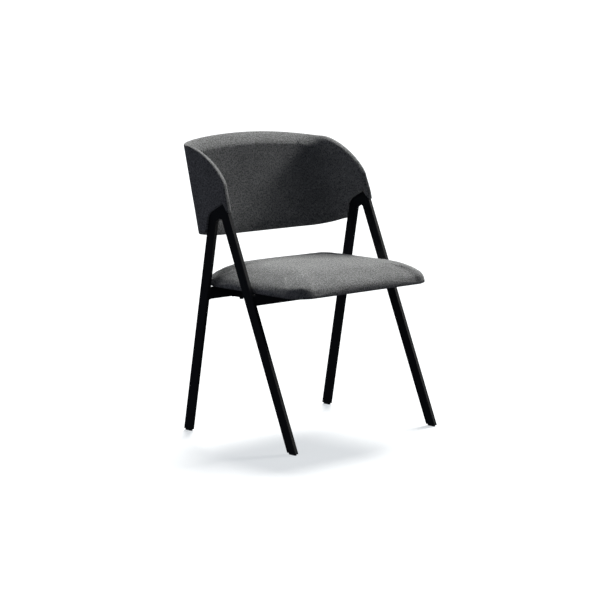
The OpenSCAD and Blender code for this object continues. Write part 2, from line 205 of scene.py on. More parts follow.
def melange(name, dark, light):
    """A plain weave of flecked yarn. The weave follows the piece's own UVs, which are in metres."""
    look = Look(name, roughness=0.88, specular=0.25, sheen=0.4, sheen_roughness=0.35)
    flat = look.node("ShaderNodeUVMap", uv_map="weave").outputs[0]
    u, v, _ = look.split(flat)
    cells_u = look.math("MULTIPLY", u, 1 / (YARN_PITCH * MM))
    cells_v = look.math("MULTIPLY", v, 1 / (YARN_PITCH * MM))
    column, row = look.math("FLOOR", cells_u), look.math("FLOOR", cells_v)
    warp_up = look.math("PINGPONG", look.math("ADD", column, row), 1.0)
    across_u = look.math("SINE", look.math("MULTIPLY", look.math("FRACT", cells_u), math.pi))
    across_v = look.math("SINE", look.math("MULTIPLY", look.math("FRACT", cells_v), math.pi))
    crown_u, crown_v = look.mix(across_u, 0.5, 1.0), look.mix(across_v, 0.5, 1.0)
    warp = look.math("MULTIPLY", across_u, crown_v)
    weft = look.math("MULTIPLY", across_v, crown_u)
    height = look.mix(warp_up, weft, warp)
    # Each yarn carries its own flecks, long along the yarn and a yarn wide across it
    spread, run = 7.31, 0.25
    warp_place = look.vector(look.math("MULTIPLY", column, spread), look.math("MULTIPLY", cells_v, run), 3.0)
    warp_fleck = look.noise(warp_place, 1.0, 2.5, 0.65)
    weft_place = look.vector(look.math("MULTIPLY", cells_u, run), look.math("MULTIPLY", row, spread), 11.0)
    weft_fleck = look.noise(weft_place, 1.0, 2.5, 0.65)
    fleck = look.ramp(look.mix(warp_up, weft_fleck, warp_fleck), 0.40, 0.62)
    mottle = look.noise(flat, 205.0, 2.0, 0.55)
    cloud = look.noise(flat, 16.0, 2.0, 0.5)
    tone = look.math("ADD", look.math("MULTIPLY", fleck, 0.42), look.ramp(mottle, 0.38, 0.64, 0.09, 0.50))
    tone = look.math("MULTIPLY", tone, look.ramp(cloud, 0.3, 0.7, 0.88, 1.1))
    # Painted shade: the colour is darkened where the weave sinks, in the hollows between the yarns
    gap_shade = look.ramp(height, 0.0, 0.55, 0.45, 1.0)
    colour = look.colours(tone, dark, light)
    colour = look.colours(1.0, colour, look.vector(gap_shade, gap_shade, gap_shade), "MULTIPLY")
    fuzz = look.noise(flat, 2600.0, 2.0, 0.7)
    weave = look.math("ADD", height, look.math("MULTIPLY", fuzz, 0.35))
    soft = look.bump(mottle, 0.0006, 0.3)
    return look.finish(colour, look.bump(weave, 0.00045, 0.9, soft))


def powder_coat():
    look = Look("black_powder_coat", roughness=0.5, specular=0.25)
    at = look.position()
    grain = look.noise(at, 1400.0, 2.0, 0.6)
    patch = look.noise(at, 22.0, 3.0, 0.6)
    # The bevels are painted lighter: partly wear of the paint, partly a painted highlight along the edges
    edge = look.attribute("edge")
    wear_and_highlight = look.math("MULTIPLY", edge, look.ramp(look.noise(at, 160.0, 4.0, 0.7), 0.5, 0.72))
    base = look.colours(look.ramp(patch, 0.3, 0.7), rgb(0.0045, 0.0060, 0.0085), rgb(0.0080, 0.0098, 0.0130))
    colour = look.colours(look.math("MULTIPLY", wear_and_highlight, 0.35), base, rgb(0.055, 0.057, 0.06))
    roughness = look.ramp(patch, 0.3, 0.7, 0.36, 0.48)
    return look.finish(colour, look.bump(grain, 0.00012, 0.5), roughness)


def plastic():
    look = Look("glide_plastic", roughness=0.6, specular=0.4)
    at = look.position()
    scuff = look.noise(at, 420.0, 4.0, 0.7)
    colour = look.colours(look.ramp(scuff, 0.4, 0.8), rgb(0.010, 0.010, 0.011), rgb(0.030, 0.030, 0.031))
    grain = look.bump(look.noise(at, 2200.0), 0.0001, 0.5)
    return look.finish(colour, grain, look.ramp(scuff, 0.3, 0.8, 0.5, 0.75))


def zinc():
    look = Look("zinc_steel", roughness=0.35, metallic=1.0)
    at = look.position()
    spangle = look.noise(at, 700.0, 3.0, 0.6)
    colour = look.colours(look.ramp(spangle, 0.35, 0.7), rgb(0.42, 0.43, 0.45), rgb(0.62, 0.62, 0.6))
    return look.finish(colour, look.bump(spangle, 0.00006, 0.4), look.ramp(spangle, 0.3, 0.7, 0.28, 0.5))


def black_zinc():
    look = Look("black_zinc_steel", roughness=0.45, metallic=1.0)
    spangle = look.noise(look.position(), 700.0, 3.0, 0.6)
    colour = look.colours(look.ramp(spangle, 0.35, 0.7), rgb(0.020, 0.021, 0.024), rgb(0.045, 0.046, 0.050))
    return look.finish(colour, look.bump(spangle, 0.00006, 0.4), look.ramp(spangle, 0.3, 0.7, 0.4, 0.6))


def plywood(name, shade_darkening=1.0):
    """Thin layers show on the edges, and long grain shows on the faces. A second argument below 1 darkens all
    the wood as painted shade.
    """
    look = Look(name, roughness=0.62, specular=0.35)
    at = look.position()
    x, y, z = look.split(at)
    grain = look.noise(look.vector(look.math("MULTIPLY", x, 9.0), look.math("MULTIPLY", y, 120.0),
                                   look.math("MULTIPLY", z, 120.0)), 1.0, 4.0, 0.6)
    layer = look.math("PINGPONG", look.math("MULTIPLY", z, 1 / (1.5 * MM)), 1.0)
    wood = look.colours(look.ramp(grain, 0.35, 0.7), rgb(0.60 * shade_darkening, 0.43 * shade_darkening, 0.25 * shade_darkening),
                        rgb(0.38 * shade_darkening, 0.24 * shade_darkening, 0.12 * shade_darkening))
    glue = rgb(0.30 * shade_darkening, 0.19 * shade_darkening, 0.10 * shade_darkening)
    colour = look.colours(look.math("MULTIPLY", layer, 0.35), wood, glue)
    return look.finish(colour, look.bump(grain, 0.0002, 0.4))


def dust_cloth():
    """Pressed black fibres, with a faint grid of bonding dots"""
    look = Look("dust_cloth", roughness=0.92, specular=0.15, sheen=0.15)
    flat = look.node("ShaderNodeUVMap", uv_map="weave").outputs[0]
    u, v, _ = look.split(flat)
    dot_u = look.math("SINE", look.math("MULTIPLY", u, 2 * math.pi / (2.4 * MM)))
    dot_v = look.math("SINE", look.math("MULTIPLY", v, 2 * math.pi / (2.4 * MM)))
    dots = look.ramp(look.math("MULTIPLY", dot_u, dot_v), 0.25, 0.7)
    fibre = look.noise(flat, 1500.0, 5.0, 0.75)
    colour = look.colours(look.ramp(fibre, 0.35, 0.7), rgb(0.008, 0.008, 0.009), rgb(0.035, 0.035, 0.038))
    height = look.math("SUBTRACT", fibre, look.math("MULTIPLY", dots, 0.5))
    return look.finish(colour, look.bump(height, 0.0003, 0.8))


def foam_look():
    look = Look("foam", roughness=0.95, specular=0.1)
    at = look.position()
    cells = look.node("ShaderNodeTexVoronoi")
    put(cells.inputs["Vector"], at)
    cells.inputs["Scale"].default_value = 900.0
    pores = look.ramp(cells.outputs["Distance"], 0.0, 0.6)
    # Painted shade: the foam is darker in its pore hollows, where the bump sinks
    colour = look.colours(pores, rgb(0.55, 0.47, 0.30), rgb(0.82, 0.74, 0.52))
    return look.finish(colour, look.bump(pores, 0.0005, 0.6))


YARN_DARK = rgb(0.050, 0.052, 0.055)
YARN_LIGHT = rgb(0.40, 0.41, 0.41)
BACK_FABRIC = melange("back_fabric", YARN_DARK, YARN_LIGHT)
SEAT_FABRIC = melange("seat_fabric", YARN_DARK, YARN_LIGHT)
STEEL = powder_coat()
PLASTIC = plastic()
ZINC = zinc()
BLACK_ZINC = black_zinc()
PLYWOOD = plywood("plywood")
# Painted shade: the back board's plywood is darkened nearly to black, so the corner that shows at the notch's
# apex reads as the shadowed gap
SHADE_DARKENED_PLYWOOD = plywood("shade_darkened_plywood", 0.06)
FOAM = foam_look()
DUST = dust_cloth()


# ---------------------------------------------------------------- pieces

def piece(name, mesh, material, slot, *stands_for):
    """A finished piece that rides on the chair and takes the place of the CAD nodes named"""
    made = bpy.data.objects.new(name, mesh)
    bpy.context.scene.collection.objects.link(made)
    mesh.materials.clear()
    mesh.materials.append(material)
    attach(made, "root")
    if stands_for:
        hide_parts(*stands_for)
    return made


def set_smooth(mesh):
    mesh.polygons.foreach_set("use_smooth", [True] * len(mesh.polygons))


def coordinates(mesh):
    co = np.empty(len(mesh.vertices) * 3)
    mesh.vertices.foreach_get("co", co)
    return co.reshape(-1, 3)


def set_coordinates(mesh, co):
    mesh.vertices.foreach_set("co", co.ravel())
    mesh.update()


def set_uvs(mesh, uv):
    """One UV per vertex, in metres, on every corner of its faces"""
    layer = mesh.uv_layers.new(name="weave")
    corner = np.empty(len(mesh.loops), int)
    mesh.loops.foreach_get("vertex_index", corner)
    layer.data.foreach_set("uv", uv[corner].ravel())


def applied(obj):
    """The object's mesh with its modifiers applied"""
    graph = bpy.context.evaluated_depsgraph_get()
    graph.update()
    return bpy.data.meshes.new_from_object(obj.evaluated_get(graph))


def with_modifier(mesh, kind, **settings):
    """The mesh after one modifier"""
    work = bpy.data.objects.new("work", mesh)
    bpy.context.scene.collection.objects.link(work)
    modifier = work.modifiers.new("work", kind)
    for key, value in settings.items():
        setattr(modifier, key, value)
    out = applied(work)
    bpy.data.objects.remove(work)
    return out


EDGE_ANGLE = math.radians(25)


def mark_edges(bm, faces):
    """The attribute edge is 1 in the middle of a bevel, where paint wears and where the lighter edge is a
    painted highlight, and 0 on the flats
    """
    layer = bm.verts.layers.float.new("edge")
    bevel = set(faces)
    for v in bm.verts:
        if v.link_faces and all(f in bevel for f in v.link_faces):
            v[layer] = 1.0


def bevelled(name, node, material, slot, width):
    """A copy of a CAD node with its sharp edges rounded"""
    bm = bmesh.new()
    bm.from_mesh(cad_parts[node].data)
    bmesh.ops.remove_doubles(bm, verts=bm.verts, dist=1e-6)
    bmesh.ops.dissolve_limit(bm, angle_limit=math.radians(0.3), verts=bm.verts, edges=bm.edges)
    sharp = [e for e in bm.edges if len(e.link_faces) == 2 and e.calc_face_angle(0) > EDGE_ANGLE]
    made = bmesh.ops.bevel(bm, geom=sharp, offset=width * MM, segments=4, profile=0.5, affect="EDGES",
                           clamp_overlap=True)
    mark_edges(bm, made["faces"])
    mesh = bpy.data.meshes.new(name)
    bm.to_mesh(mesh)
    bm.free()
    set_smooth(mesh)
    obj = piece(name, mesh, material, slot, node)
    weighted = obj.modifiers.new("weighted_normals", "WEIGHTED_NORMAL")
    weighted.weight = 100
    return obj


# ---------------------------------------------------------------- steel

def steel_frame():
    for side in ("left", "right"):
        for leg in ("front_leg", "rear_leg"):
            bevelled(f"{side}_{leg}_bar", f"{side}_{leg}", STEEL, "black_powder_coat", 0.9)
        bevelled(f"{side}_side_rail_tube", f"{side}_side_rail", STEEL, "black_powder_coat", 0.9)
        for end in ("front", "rear"):
            bevelled(f"{side}_{end}_foot_glide", f"{side}_{end}_glide", PLASTIC, "glide_plastic", 0.6)
    for end in ("front", "rear"):
        bevelled(f"{end}_crossbar_tube", f"{end}_crossbar", STEEL, "black_powder_coat", 0.9)


def direction(angle):
    return np.array([math.cos(angle), math.sin(angle)])


def front_y(z):
    return z * math.tan(FRONT_RAKE) - FOOT_SPAN / 2


def rear_y(z):
    return FOOT_SPAN / 2 - z * math.tan(REAR_RAKE)


ELBOW = np.array([rear_y(ELBOW_H), ELBOW_H])
TOP_DIR = np.array([-math.cos(TOP_SLOPE), math.sin(TOP_SLOPE)])


def top_run_z(y, offset):
    """Height of a line along the rear leg's top run, offset from the bar's middle, up being positive"""
    return ELBOW_H + offset / math.cos(TOP_SLOPE) + (ELBOW[0] - y) * math.tan(TOP_SLOPE)


def extruded(bm, outline, x, thickness):
    """A slab of the (y, z) outline, in the stance's millimetres, centred on x"""
    rings = []
    for step in (-0.5, 0.5):
        face_x = (x + step * thickness) * MM
        rings.append([bm.verts.new((face_x, (y + STANCE_Y) * MM, z * MM)) for y, z in outline])
    n = len(outline)
    bm.faces.new(rings[0][::-1])
    bm.faces.new(rings[1])
    for i in range(n):
        j = (i + 1) % n
        bm.faces.new((rings[0][i], rings[0][j], rings[1][j], rings[1][i]))


def weld_gussets():
    """The weld that fills the inside corner between the front leg and the rear leg's top run"""
    radius = 10.0
    leg = np.array([math.sin(FRONT_RAKE), math.cos(FRONT_RAKE)])
    # The corner is where the front leg's rear edge meets the underside of the top run
    rear_edge = BAR_W / 2 / math.cos(FRONT_RAKE)
    z = (top_run_z(front_y(0) + rear_edge, -BAR_W / 2)) / (1 + math.tan(FRONT_RAKE) * math.tan(TOP_SLOPE))
    corner = np.array([front_y(z) + rear_edge, z])
    down, along = -leg, -TOP_DIR
    half = math.acos(float(down @ along)) / 2
    run = radius / math.tan(half)
    middle = (down + along) / np.linalg.norm(down + along)
    centre = corner + middle * radius / math.sin(half)
    start, end = corner + down * run - centre, corner + along * run - centre
    a0, a1 = math.atan2(start[1], start[0]), math.atan2(end[1], end[0])
    arc = [centre + radius * direction(a0 + (a1 - a0) * i / 10) for i in range(11)]
    inside = corner - middle * 3
    bm = bmesh.new()
    for side in (-1, 1):
        x = side * (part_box("right_front_leg")[0].x / MM + BAR_T / 2)
        extruded(bm, [inside, *arc], x, BAR_T - 1.2)
    bmesh.ops.recalc_face_normals(bm, faces=bm.faces)
    sharp = [e for e in bm.edges if e.calc_face_angle(0) > EDGE_ANGLE]
    made = bmesh.ops.bevel(bm, geom=sharp, offset=0.7 * MM, segments=3, profile=0.5, affect="EDGES",
                           clamp_overlap=True)
    mark_edges(bm, made["faces"])
    mesh = bpy.data.meshes.new("elbow_welds")
    bm.to_mesh(mesh)
    bm.free()
    set_smooth(mesh)
    welds = piece("elbow_welds", mesh, STEEL, "black_powder_coat")
    welds.modifiers.new("weighted_normals", "WEIGHTED_NORMAL")


def bead(bm, corners, radius, seed):
    """A weld bead along a closed path of corners: a round run with the ripples of its puddles"""
    path = []
    for a, b in zip(corners, corners[1:] + corners[:1]):
        a, b = Vector(a), Vector(b)
        steps = max(2, round((b - a).length / (1.1 * MM)))
        path += [a.lerp(b, i / steps) for i in range(steps)]
    rings = []
    for i, p in enumerate(path):
        ahead, behind = path[(i + 1) % len(path)], path[i - 1]
        along = (ahead - behind).normalized()
        side = along.orthogonal().normalized()
        other = along.cross(side)
        swell = radius * MM * (1 + 0.16 * math.sin(i * 1.9) + 0.2 * noise.noise(Vector((i * 0.13, seed, 0))))
        rings.append([
            bm.verts.new(p + (side * math.cos(a) + other * math.sin(a)) * swell)
            for a in (2 * math.pi * k / 8 for k in range(8))
        ])
    for i, ring in enumerate(rings):
        after = rings[(i + 1) % len(rings)]
        # Neighbouring rings may start at different angles, so each is matched to the nearest turn
        turn = min(range(8), key=lambda k: (ring[0].co - after[k].co).length)
        for k in range(8):
            bm.faces.new((ring[k], ring[(k + 1) % 8], after[(k + 1 + turn) % 8], after[(k + turn) % 8]))


def rectangle(low, high, axis, at, inset):
    """The corners of a tube's section across an axis, just inside its outline"""
    u, v = [i for i in range(3) if i != axis]
    out = []
    for pu, pv in ((0, 0), (1, 0), (1, 1), (0, 1)):
        p = [0.0] * 3
        p[axis] = at
        p[u] = high[u] - inset if pu else low[u] + inset
        p[v] = high[v] - inset if pv else low[v] + inset
        out.append(p)
    return out


def weld_beads():
    """Beads where the crossbars meet the legs and where the rails meet the crossbars"""
    bm = bmesh.new()
    radius, inset = 1.7, 0.3 * MM
    seed = 0
    tubes = (("front_crossbar", 0), ("rear_crossbar", 0), ("left_side_rail", 1), ("right_side_rail", 1))
    for node, axis in tubes:
        low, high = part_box(node)
        for end in (low[axis], high[axis]):
            bead(bm, rectangle(low, high, axis, end, inset), radius, seed)
            seed += 5.3
    bmesh.ops.recalc_face_normals(bm, faces=bm.faces)
    mesh = bpy.data.meshes.new("weld_beads")
    bm.to_mesh(mesh)
    bm.free()
    set_smooth(mesh)
    piece("weld_beads", mesh, STEEL, "black_powder_coat")


def hardware():
    """Finishes for the CAD's small and inner nodes. The back board's wood is darkened nearly black as painted
    shade, as a corner of it shows through the fabric at the apex of the notch, where only a shadowed gap
    should be seen."""
    looks = {
        "left_shell_tab": STEEL, "right_shell_tab": STEEL,
        # The back board gets the plywood darkened as painted shade
        "seat_board": PLYWOOD, "back_board": SHADE_DARKENED_PLYWOOD,
        "seat_tee_nuts": ZINC, "seat_screws": BLACK_ZINC, "seat_washers": BLACK_ZINC,
        "dust_cover_staples": ZINC, "shell_screws": ZINC,
    }
    for node in ("seat_foam", "back_inner_foam", "back_outer_foam"):
        looks[node] = FOAM
    for node, material in looks.items():
        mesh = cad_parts[node].data
        mesh.materials.clear()
        mesh.materials.append(material)


# ---------------------------------------------------------------- back shell

def plan_table():
    """The shell's outer plan at mid height on the +X side: arc length from the middle of the back, place and
    outward normal, in rows that run from the middle of the back to past the arm's tip"""
    a = np.pi / 2 * np.linspace(0, 1, 500) ** 1.5
    c, s = np.abs(np.cos(a)) ** (2 / SHELL_ROUND), np.sin(a) ** (2 / SHELL_ROUND)
    nx, ny = c ** (SHELL_ROUND - 1) / SHELL_HALF_W, s ** (SHELL_ROUND - 1) / SHELL_DEPTH
    length = np.hypot(nx, ny)
    curve = np.stack([SHELL_HALF_W * c, SHELL_YC + SHELL_DEPTH * s, nx / length, ny / length], 1)[::-1]
    tip = [SHELL_HALF_W, ARM_FRONT - 40, 1, 0]
    rows = np.vstack([curve, [tip]])
    steps = np.hypot(*np.diff(rows[:, :2], axis=0).T)
    return np.concatenate([[0], np.cumsum(steps)]), rows


PLAN_U, PLAN = plan_table()


def plan_at(u):
    """Columns x, y, outward x and y of the outer plan at arc length |u|"""
    return [np.interp(np.abs(u), PLAN_U, PLAN[:, i]) for i in range(4)]


def u_of_station(y):
    """Arc length at a station of the arm's or corner's plan"""
    return np.interp(-np.asarray(y, float), -PLAN[:, 1], PLAN_U)


def half_thickness(u):
    t = np.clip((plan_at(u)[1] - SHELL_YC) / THICKEN_OVER, 0, 1)
    return (ARM_T + (BACK_T - ARM_T) * t * t * (3 - 2 * t)) / 2


def bent(u, z, n):
    """Takes points of the flat shell (arc length, height, distance out from mid surface) to their places"""
    x, y, nx, ny = plan_at(u)
    depth = half_thickness(u) - n
    rise = z - SHELL_MID_Z
    px = np.sign(u) * (x - depth * nx) * (1 - SHELL_TUMBLE * rise / SHELL_HALF_W)
    py = y - depth * ny + SHELL_LEAN * rise + STANCE_Y
    return np.stack([px, py, z], 1) * MM


def on_arm(y, z):
    """A point (y, z) of the side view, as (arc length, height) on the flat shell"""
    return [float(u_of_station(y - SHELL_LEAN * (z - SHELL_MID_Z))), z]


# Below zero, the fabric's edge lies over the bar
NOTCH_GAP = -1.6
NOTCH_EDGE_R = 3.6
OUTER_EDGE_R = 4.5
ROLL_BACK = 34.0
ROLL_ARM = 10.0
BEVEL = 0.6
LOW_SHARE = 0.22
ROLL_RATE = 3.5
SLAB_HALF = 12.0
TOE = (38.0, 612.0)
APEX = (57.0, 635.0)
ARM_TURN_Z = 643
ARM_RETURN = 0.0039
ARM_FRONT_LEAN = 0.03
ARM_FRONT_TOP = 676


def notch_outline():
    """The fabric's edge along the top of a side frame, from the lower edge of the shell round to the toe"""
    half = BAR_W / 2 + NOTCH_GAP
    up = np.array([-math.sin(REAR_RAKE), math.cos(REAR_RAKE)])
    turn = math.pi / 2 - TOP_SLOPE - REAR_RAKE
    radius = ELBOW_R + BAR_W / 2
    left = np.array([-up[1], up[0]])
    centre = ELBOW - up * radius * math.tan(turn / 2) + left * radius

    def edge(z):
        return rear_y(z) + half / math.cos(REAR_RAKE)

    below = [z for z in np.arange(SHELL_LOW, centre[1] + half, 2.0)
             if z > lower_edge(on_arm(edge(z), z)[0]) and z < centre[1] + 6]
    points = [(edge(z), z) for z in below]
    points += [tuple(centre + (radius + half) * direction(REAR_RAKE + turn * i / 10)) for i in range(11)]
    points.append((APEX[0] + 3, top_run_z(APEX[0] + 3, half)))
    points.append((APEX[0] - 0.6, APEX[1] - 0.6))
    points += [TOE]
    return [on_arm(*p) for p in points]


def lower_edge(u):
    """Height of the shell's lower edge: level along the back, and rising round the corners to the arms"""
    return SHELL_LOW + LOW_RISE * max(abs(u) - LOW_RISE_FROM, 0) ** 2


def arm_front_station(z):
    """Station of the arm's front edge: nearly upright, with a slight return at the foot"""
    return ARM_FRONT + ARM_RETURN * max(ARM_TURN_Z - z, 0) ** 2 + ARM_FRONT_LEAN * max(z - ARM_TURN_Z, 0)


def half_outline():
    """The flat shell's +X half, counterclockwise from the middle of the lower edge to the middle of the top.
    The third number is 1 on the padded rim and 0 on the tight edge round the steel."""
    notch = notch_outline()
    first_u = notch[0][0]
    low = [[u, lower_edge(u), LOW_SHARE] for u in np.linspace(0, first_u - 3, 90)]
    tight = [[u, z, 0.0] for u, z in notch]
    front = [[float(u_of_station(arm_front_station(z))), z, 1.0]
             for z in np.linspace(ARM_LOW, ARM_FRONT_TOP, 24)]
    top = []
    for a in np.linspace(np.pi / 2, 0, 60)[1:]:
        t, w = math.sin(a) ** (2 / ARM_DROP_POWER), max(math.cos(a), 0) ** (2 / ARM_DROP_POWER)
        y = ARM_DROP_FROM - (ARM_DROP_FROM - ARM_FRONT) * t
        u = float(u_of_station(y))
        x = float(plan_at(u)[0])
        top.append([u, SHELL_TOP - TOP_ARCH * x * x - ARM_DROP * (1 - w) + ARM_LIFT * math.sin(2 * a), 1.0])
    last_u = top[-1][0]
    for u in np.linspace(last_u, 0, 90)[1:]:
        x = float(plan_at(u)[0])
        top.append([u, SHELL_TOP - TOP_ARCH * x * x, 1.0])
    return resampled(np.array(low + tight + front + top), 2.0)


def resampled(path, step):
    """The path with evenly spaced points"""
    run = np.concatenate([[0], np.cumsum(np.hypot(*np.diff(path[:, :2], axis=0).T))])
    at = np.linspace(0, run[-1], max(2, round(run[-1] / step)))
    return np.stack([np.interp(at, run, path[:, i]) for i in range(path.shape[1])], 1)


def softened(values, reach):
    """The values averaged over a few neighbours along the path"""
    padded = np.pad(values, reach, mode="edge")
    return np.convolve(padded, np.ones(2 * reach + 1) / (2 * reach + 1), mode="valid")


OUTLINE = half_outline()
OUTLINE[:, 2] = softened(OUTLINE[:, 2], 4)


def rim_distance(u, z):
    """Distance in from the outline, the inward direction, and how padded the rim is there, for each point"""
    a, b = OUTLINE[:-1], OUTLINE[1:]
    ab = b[:, :2] - a[:, :2]
    square = (ab ** 2).sum(1)
    points = np.stack([np.abs(u), z], 1)
    count = len(points)
    distance, inward, share = np.empty(count), np.empty((count, 2)), np.empty(count)
    for start in range(0, count, 4000):
        p = points[start:start + 4000]
        ap = p[:, None] - a[None, :, :2]
        t = np.clip((ap * ab).sum(2) / square, 0, 1)
        off = ap - t[..., None] * ab
        near = (off ** 2).sum(2)
        k = near.argmin(1)
        rows = np.arange(len(p))
        o, d = off[rows, k], np.sqrt(near[rows, k])
        normal = np.stack([-ab[k, 1], ab[k, 0]], 1) / np.sqrt(square[k])[:, None]
        sign = np.where((o * normal).sum(1) >= 0, 1.0, -1.0)
        distance[start:start + 4000] = d * sign
        clear = d > 0.05
        way = np.where(clear[:, None], o * (sign / np.maximum(d, 1e-9))[:, None], normal)
        inward[start:start + 4000] = way
        s = t[rows, k]
        share[start:start + 4000] = a[k, 2] * (1 - s) + b[k, 2] * s
    inward[:, 0] *= np.where(u < 0, -1, 1)
    return distance, inward, share


def flat_shell(voxel):
    """The flat shell as a plain slab of even thickness, remeshed into even quads"""
    right = OUTLINE[:, :2]
    left = right[::-1] * [-1, 1]
    loop = np.vstack([right, left[1:-1]])
    bm = bmesh.new()
    rings = []
    for side in (-SLAB_HALF, SLAB_HALF):
        rings.append([bm.verts.new((u * MM, side * MM, z * MM)) for u, z in loop])
    n = len(loop)
    bm.faces.new(rings[0])
    bm.faces.new(rings[1][::-1])
    for i in range(n):
        j = (i + 1) % n
        bm.faces.new((rings[0][i], rings[1][i], rings[1][j], rings[0][j]))
    bmesh.ops.triangulate(bm, faces=bm.faces)
    bmesh.ops.recalc_face_normals(bm, faces=bm.faces)
    mesh = bpy.data.meshes.new("flat_shell")
    bm.to_mesh(mesh)
    bm.free()
    mesh = with_modifier(mesh, "REMESH", mode="VOXEL", voxel_size=voxel * MM)
    return with_modifier(mesh, "SUBSURF", subdivision_type="SIMPLE", levels=1)


def inner_roll(u):
    """How far the roll reaches in from the edge of the inner face: wide on the back, narrow on the arms"""
    t = np.clip((plan_at(u)[1] - SHELL_YC) / THICKEN_OVER, 0, 1)
    return ROLL_ARM + (ROLL_BACK - ROLL_ARM) * t * t * (3 - 2 * t)


def rounded_rim(u, z, n):
    """Moves points of the slab on to the padded form. The outer edge is a tight round, the inner side rolls
    over to it as a soft bevel, and both are tight corners round the steel."""
    h = half_thickness(u)
    d, inward, share = rim_distance(u, z)
    outer = NOTCH_EDGE_R + (OUTER_EDGE_R - NOTCH_EDGE_R) * share
    roll = NOTCH_EDGE_R + (inner_roll(u) - NOTCH_EDGE_R) * np.minimum(share * ROLL_RATE, 1)
    drop = NOTCH_EDGE_R + (2 * h - OUTER_EDGE_R - NOTCH_EDGE_R) * share
    power = 2 - BEVEL * share * (inner_roll(u) - ROLL_ARM) / (ROLL_BACK - ROLL_ARM)
    outside, inside = n > h - outer, n < drop - h
    reach = np.where(outside, outer, roll)
    height = np.where(outside, outer, drop)
    power = np.where(outside, 2, power)
    past = np.where(outside, n - (h - outer), np.where(inside, drop - h - n, 0))
    qx, qy = np.clip(reach - d, 0, None) / reach, past / height
    size = np.maximum((qx ** power + qy ** power) ** (1 / power), 1e-6)
    on_rim = qx > 0
    rounded = outside | inside
    qx, qy = np.where(on_rim, qx / size, 0), np.where(on_rim, qy / size, 1)
    new_d = np.where(rounded, np.where(on_rim, reach * (1 - qx), d), 0)
    new_n = np.where(outside, h - outer + height * qy, np.where(inside, drop - h - height * qy, n))
    shift = new_d - d
    u2, z2 = u + inward[:, 0] * shift, z + inward[:, 1] * shift
    angle = np.arctan2(qx, np.maximum(qy, 1e-6))
    beyond = np.where(rounded & on_rim, (reach + height) / 2 * angle - reach * qx, 0)
    flat = np.stack([u2 - inward[:, 0] * beyond, z2 - inward[:, 1] * beyond], 1)
    return u2, z2, new_n, new_d, flat


PLEAT_U = 186
PLEAT_IN = 29
PLEAT_REACH = 13
PLEAT_SLANT = 0.25
PLEAT_PITCH = 9.5
PLEAT_H = 2.3
PLEAT_SINK = 1.0


def corner_pleats(u, d):
    """Small folds on the inside, where the fabric is eased round the upper corners. They stand up by PLEAT_H
    at most and sink by PLEAT_SINK at most."""
    across = np.abs(u) - PLEAT_U - PLEAT_SLANT * (d - (PLEAT_IN - 1)) * np.where(u > 0, 0.7, 1)
    window = np.exp(-((across / PLEAT_REACH) ** 2)) * np.exp(-(((d - PLEAT_IN) / PLEAT_REACH) ** 2))
    phase = across * 2 * np.pi / PLEAT_PITCH + (u > 0) * 1.3
    return np.maximum(PLEAT_H * window * np.sin(phase), -PLEAT_SINK)


SHELL_VOXEL = 4.0
WAVE_SCALE = 0.014
WAVE_DEEP = 0.45
WAVE_RIM = 0.2
WAVE_FADE = 6


def back_shell():
    """The padded back: a flat slab with a rounded rim, folds and a faint unevenness, bent on to the plan"""
    mesh = flat_shell(SHELL_VOXEL)
    co = coordinates(mesh) / MM
    u, n, z = co[:, 0], co[:, 1], co[:, 2]
    n = np.clip(n / SLAB_HALF, -1, 1) * half_thickness(u)
    u, z, n, d, flat = rounded_rim(u, z, n)
    inside = n < 0
    pleat = corner_pleats(u, d) * (z > SHELL_MID_Z)
    n = np.where(inside, n - pleat, n)
    wave = np.array([noise.noise(Vector((a * WAVE_SCALE, b * WAVE_SCALE, 5.0 * (c > 0))))
                     for a, b, c in zip(u, z, n)])
    n = n + np.where(d > 4, WAVE_DEEP, WAVE_RIM) * wave * np.clip(d / WAVE_FADE, 0, 1) * np.sign(n)
    set_coordinates(mesh, bent(u, z, n))
    set_uvs(mesh, flat * MM)
    set_smooth(mesh)
    mesh = with_modifier(mesh, "SMOOTH", factor=0.5, iterations=2)
    shell = piece("back_upholstery", mesh, BACK_FABRIC, "back_fabric", "back_inner_cover", "back_outer_cover",
                  "back_inner_foam", "back_outer_foam")


# ---------------------------------------------------------------- seat

def seat_half_outline(inset, steps=14):
    """The +X half of the seat's outline, from the front round to the rear"""
    r0, r1 = max(SEAT_R_FRONT - 0.6 * inset, 8), max(SEAT_R_REAR - 0.6 * inset, 8)
    x0, x1 = SEAT_W / 2 - inset, SEAT_W / 2 - SEAT_TAPER - inset
    y0, y1 = inset - SEAT_FRONT, SEAT_BACK - inset
    front = [(x0 - r0 + r0 * math.cos(a), y0 + r0 + r0 * math.sin(a))
             for a in (math.radians(-90 + 90 * i / steps) for i in range(steps + 1))]
    rear = [(x1 - r1 + r1 * math.cos(a), y1 - r1 + r1 * math.sin(a))
            for a in (math.radians(90 * i / steps) for i in range(steps + 1))]
    return front + rear


def seat_ring(bm, inset, z):
    half = seat_half_outline(inset)
    points = half + [(-x, y) for x, y in reversed(half)]
    return [bm.verts.new((x * MM, (y + STANCE_Y) * MM, z * MM)) for x, y in points]


def skin(bm, rings):
    """Closes a stack of rings into one solid"""
    n = len(rings[0])
    for a, b in zip(rings, rings[1:]):
        for i in range(n):
            j = (i + 1) % n
            bm.faces.new((a[i], a[j], b[j], b[i]))
    bm.faces.new(rings[0][::-1])
    bm.faces.new(rings[-1])


SEAT_DOME_INSET = 128
SEAT_DOME_POWER = 1.93
SEAT_RIM_H = 417
# The crown starts this far below its cover's, and the swelling lifts it by no more than the cap
SWELL = 3.0
SWELL_CAP = 6
SEAT_VOXEL = 5
SEAT_UNEVEN = 0.7


